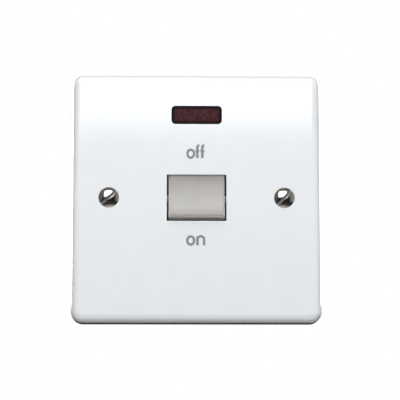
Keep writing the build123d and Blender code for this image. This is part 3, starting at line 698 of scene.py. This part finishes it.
def screw_skin(tip_y):
    """The closed skin of a mounting screw round its own axis, with no slot yet."""
    bm = bmesh.new()
    loops = [add_ring(bm, [radius] * SCREW_SIDES, y) for radius, y in head_profile()]
    rows = int((tip_y / THREAD_PITCH) * RINGS_PER_PITCH)
    for row in range(1, rows + 1):
        y = tip_y * row / rows
        loops.append(add_ring(bm, [threaded_radius(a, y, tip_y) for a in SCREW_RADIANS], y))
    for first, second in zip(loops, loops[1:]):
        for i in range(SCREW_SIDES):
            j = (i + 1) % SCREW_SIDES
            bm.faces.new((first[i], first[j], second[j], second[i]))
    top = bm.verts.new((0.0, DOME_TOP_Y, 0.0))
    end = bm.verts.new((0.0, tip_y, 0.0))
    for i in range(SCREW_SIDES):
        j = (i + 1) % SCREW_SIDES
        bm.faces.new((loops[0][j], loops[0][i], top))
        bm.faces.new((loops[-1][i], loops[-1][j], end))
    return mesh_from(bm, "screw")


def slot_cutter(angle):
    """A bar longer than the head is wide, which cuts the driver slot at its angle."""
    bm = bmesh.new()
    bmesh.ops.create_cube(bm, size=1.0)
    size = Matrix.Diagonal((4 * HEAD_RADIUS, 2 * SLOT_DEPTH, SLOT_WIDTH, 1.0))
    turn = Matrix.Rotation(-math.radians(angle), 4, "Y")
    bmesh.ops.transform(bm, matrix=Matrix.Translation((0, DOME_TOP_Y, 0)) @ turn @ size, verts=bm.verts)
    return link_object("slot_cutter", mesh_from(bm, "slot_cutter"))


def mounting_screw(side):
    """One raised countersunk screw with a rolled thread, cut with its driver slot."""
    tip_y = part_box("mounting_screws")[1].y
    body = link_object("mounting_screw_" + ("left" if side < 0 else "right"), screw_skin(tip_y))
    cutter = slot_cutter(SLOT_ANGLES[side])
    cut = body.modifiers.new("slot", "BOOLEAN")
    cut.operation = "DIFFERENCE"
    cut.solver = "EXACT"
    cut.object = cutter
    bevel(body, SCREW_EDGE, SCREW_EDGE_ANGLE)
    mesh = evaluated_mesh(body)
    bpy.data.objects.remove(cutter)
    body.modifiers.clear()
    body.data = mesh
    mesh.transform(Matrix.Translation((side * FIXING_X, 0, 0)))
    dress(mesh, materials["screw_nickel"])
    smooth_up_to(mesh, SCREW_SHARP)
    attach(body, "base")
    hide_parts("mounting_screws")


def rounded_route(corners):
    """Points along straight runs between square corners, with a bend at each corner."""
    points = [corners[0]]
    for before, corner, after in zip(corners, corners[1:], corners[2:]):
        arriving = (before - corner).normalized()
        leaving = (after - corner).normalized()
        centre = corner + (arriving + leaving) * LEAD_BEND
        for i in range(LEAD_BEND_STEPS + 1):
            turn = math.pi / 2 * i / LEAD_BEND_STEPS
            outwards = leaving * math.cos(turn) + arriving * math.sin(turn)
            points.append(centre - outwards * LEAD_BEND)
    return points + [corners[-1]]


def lead_tube(name, corners):
    """A smooth round wire in place of one of the frame's leads."""
    mesh = round_bar(name + "_route", rounded_route(corners), LEAD_RADIUS, LEAD_EDGE_STEPS)
    smooth_up_to(mesh, LEAD_SHARP)
    dress(mesh, materials["lead_sleeve"])
    made = link_object(name + "_wire", mesh)
    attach(made, "base")
    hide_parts(name)


def landing_corners(name, side):
    """The last corners of a lead: down beside the lamp, then back to its terminal strip."""
    low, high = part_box(name)
    x = (high.x - LEAD_RADIUS) if side > 0 else (low.x + LEAD_RADIUS)
    y = low.y + LEAD_RADIUS
    top = high.z - LEAD_RADIUS
    foot = low.z + LEAD_RADIUS
    return [Vector((x, y, top)), Vector((x, y, foot)), Vector((x, high.y, foot))]


def leads():
    """The three wires between the lamp, the resistor and the two upper strips."""
    lamp_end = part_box("neon_lamp")[1].x
    resistor_low, resistor_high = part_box("neon_resistor")
    right = landing_corners("neon_lead_neutral", 1)
    lead_tube("neon_lead_neutral", [Vector((lamp_end, right[0].y, right[0].z)), *right])
    left = landing_corners("neon_lead_live", -1)
    lead_tube("neon_lead_live", [Vector((resistor_low.x, left[0].y, left[0].z)), *left])
    low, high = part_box("neon_lead_link")
    x = high.x - LEAD_RADIUS
    y = (low.y + high.y) / 2
    top = high.z - LEAD_RADIUS
    foot = low.z + LEAD_RADIUS
    link = ((lamp_end, y, top), (x, y, top), (x, y, foot), (resistor_high.x, y, foot))
    lead_tube("neon_lead_link", [Vector(place) for place in link])


def soften(name):
    """Welds a node's faces together and rounds its edges a little, so that they catch the light."""
    node = nodes[name]
    node.modifiers.new("weld", "WELD").merge_threshold = WELD_REACH
    bevel(node, SOFT_EDGE, SOFT_EDGE_ANGLE).harden_normals = True


def aim(made, place, target):
    """Puts a camera or a lamp at its place and turns it to its target."""
    made.location = place
    made.rotation_euler = (Vector(target) - Vector(place)).to_track_quat("-Z", "Y").to_euler()


def camera():
    """A camera in front of the plate and a little below it, framed as the photograph is."""
    data = bpy.data.cameras.new("camera")
    seen = PHOTO_SIZE / PIXELS_PER_MM * MM
    data.sensor_width = SENSOR_WIDTH
    data.lens = SENSOR_WIDTH * CAMERA_DISTANCE / seen
    data.clip_start = NEAREST_SEEN
    azimuth = math.radians(CAMERA_AZIMUTH)
    elevation = math.radians(CAMERA_ELEVATION)
    away = Vector((
        math.sin(azimuth) * math.cos(elevation),
        -math.cos(azimuth) * math.cos(elevation),
        math.sin(elevation),
    ))
    right, up = photo_point(PHOTO_SIZE / 2, PHOTO_SIZE / 2)
    target = Vector((right * MM, FACE_Y, up * MM))
    made = link_object("camera", data)
    aim(made, target + away * CAMERA_DISTANCE, target)
    bpy.context.scene.camera = made


def panel_light():
    """Light that climbs fast to its full strength, then slowly to its top edge, and fades at both sides."""
    material = bpy.data.materials.new("panel_light")
    material.use_nodes = True
    made = Nodes(material.node_tree)
    made.tree.nodes.clear()
    place = made.axes(made.new("ShaderNodeNewGeometry").outputs["Position"])
    edge = made.span(place["Z"], PANEL_LOW, PANEL_FULL, PANEL_STRENGTH)
    rest = made.span(place["Z"], PANEL_FULL, PANEL_TOP, PANEL_TOP_STRENGTH - PANEL_STRENGTH)
    level = made.maths("ADD", edge, rest)
    for outer, inner in ((PANEL_LEFT, PANEL_LEFT + PANEL_FADE), (PANEL_RIGHT, PANEL_RIGHT - PANEL_FADE)):
        level = made.maths("MULTIPLY", level, made.span(place["X"], outer, inner))
    made.output("ShaderNodeOutputMaterial", made.glow("ShaderNodeEmission", WHITE, level))
    return material


def light_panel():
    """Large soft panel behind the camera; its lower edge shows as the sheen on the plate's top third."""
    bm = bmesh.new()
    corners = [
        (PANEL_LEFT, PANEL_LOW), (PANEL_RIGHT, PANEL_LOW), (PANEL_RIGHT, PANEL_TOP), (PANEL_LEFT, PANEL_TOP),
    ]
    bm.faces.new([bm.verts.new((x, PANEL_Y, z)) for x, z in corners])
    panel = link_object("light_panel", mesh_from(bm, "light_panel"))
    panel.data.materials.append(panel_light())
    panel.visible_camera = False


def area_light(name, place, target, size, power, colour=WHITE):
    """A rectangular lamp that looks at its target."""
    data = bpy.data.lights.new(name, "AREA")
    data.shape = "RECTANGLE"
    data.size, data.size_y = size
    data.energy = power
    data.color = colour
    made = link_object(name, data)
    aim(made, place, target)
    return made


def lamps():
    """Lamps above, in front and behind; the first two don't show in polished faces."""
    overhead = area_light(
        "overhead", OVERHEAD_PLACE, OBJECT_CENTRE, OVERHEAD_SIZE, OVERHEAD_POWER, OVERHEAD_COLOUR)
    overhead.visible_glossy = False
    fill = area_light("fill", FILL_PLACE, OBJECT_CENTRE, FILL_SIZE, FILL_POWER)
    fill.visible_glossy = False
    x, y, z = BACK_PLACE
    for side in (-1, 1):
        area_light("back_fill", (x * side, y, z), BACK_TARGET, BACK_SIZE, BACK_POWER)


def floor_pale():
    """The floor's finish: pale to the camera, turning into the background's white towards the rim."""
    material = bpy.data.materials.new("floor_pale")
    material.use_nodes = True
    made = Nodes(material.node_tree)
    made.tree.nodes.clear()
    coordinates = made.new("ShaderNodeTexCoord").outputs["Object"]
    length = made.vector_maths("LENGTH", coordinates)["Value"]
    far = made.span(length, NEAR_ENDS, FAR_STARTS)
    under = made.span(made.axes(coordinates)["Y"], FLOOR_FRONT, FLOOR_BEHIND)
    unseen = made.diffuse(made.mix(made.maths("MAXIMUM", far, under), FLOOR_NEAR, FLOOR_FAR))
    rim = made.span(length, RIM_STARTS, RIM_FULL)
    seen = made.mix_shaders(rim, made.diffuse(FLOOR_SEEN), made.glow("ShaderNodeEmission", WHITE, BACKGROUND))
    camera_ray = made.new("ShaderNodeLightPath").outputs["Is Camera Ray"]
    made.output("ShaderNodeOutputMaterial", made.mix_shaders(camera_ray, unseen, seen))
    return material


def floor():
    """Pale round floor below the plate."""
    bm = bmesh.new()
    bmesh.ops.create_circle(bm, cap_ends=True, segments=FLOOR_SIDES, radius=FLOOR_RADIUS)
    made = link_object("floor", mesh_from(bm, "floor"))
    made.location = (0.0, 0.0, FLOOR_LEVEL)
    made.data.materials.append(floor_pale())


def world():
    """White to the camera and behind glass, and to all other rays a dim room with paler sides."""
    surroundings = bpy.data.worlds.new("world")
    bpy.context.scene.world = surroundings
    surroundings.use_nodes = True
    made = Nodes(surroundings.node_tree)
    made.tree.nodes.clear()
    direction = made.axes(made.new("ShaderNodeTexCoord").outputs["Generated"])
    tilt = made.span(direction["Z"], -1.0, 1.0, shape="LINEAR")
    right_hand = made.maths("GREATER_THAN", direction["X"], 0.0)
    wall = made.mix(right_hand, ROOM_LEFT, ROOM_RIGHT)
    aside = made.span(made.maths("ABSOLUTE", direction["X"]), SIDE_STARTS, SIDE_FULL)
    walls = made.mix(aside, made.ramp(tilt, ROOM_HEIGHTS), wall)
    room = made.glow("ShaderNodeBackground", walls, ROOM_STRENGTH)
    white = made.glow("ShaderNodeBackground", WHITE, BACKGROUND)
    path = made.new("ShaderNodeLightPath").outputs
    behind = made.span(direction["Y"], BEHIND_STARTS, BEHIND_FULL)
    through = made.maths("MULTIPLY", path["Is Transmission Ray"], behind)
    white_share = made.maths("MAXIMUM", path["Is Camera Ray"], through)
    made.output("ShaderNodeOutputWorld", made.mix_shaders(white_share, room, white))


for row in frame["record"]["subparts"]:
    finish_node(row["node"], row["material_slot"])

ink = letter_ink()
lettering()
for side in (-1, 1):
    mounting_screw(side)
leads()
for name in ("rear_housing", "lamp_tray"):
    soften(name)

camera()
light_panel()
lamps()
floor()
world()
bpy.context.scene.view_settings.view_transform = "Standard"
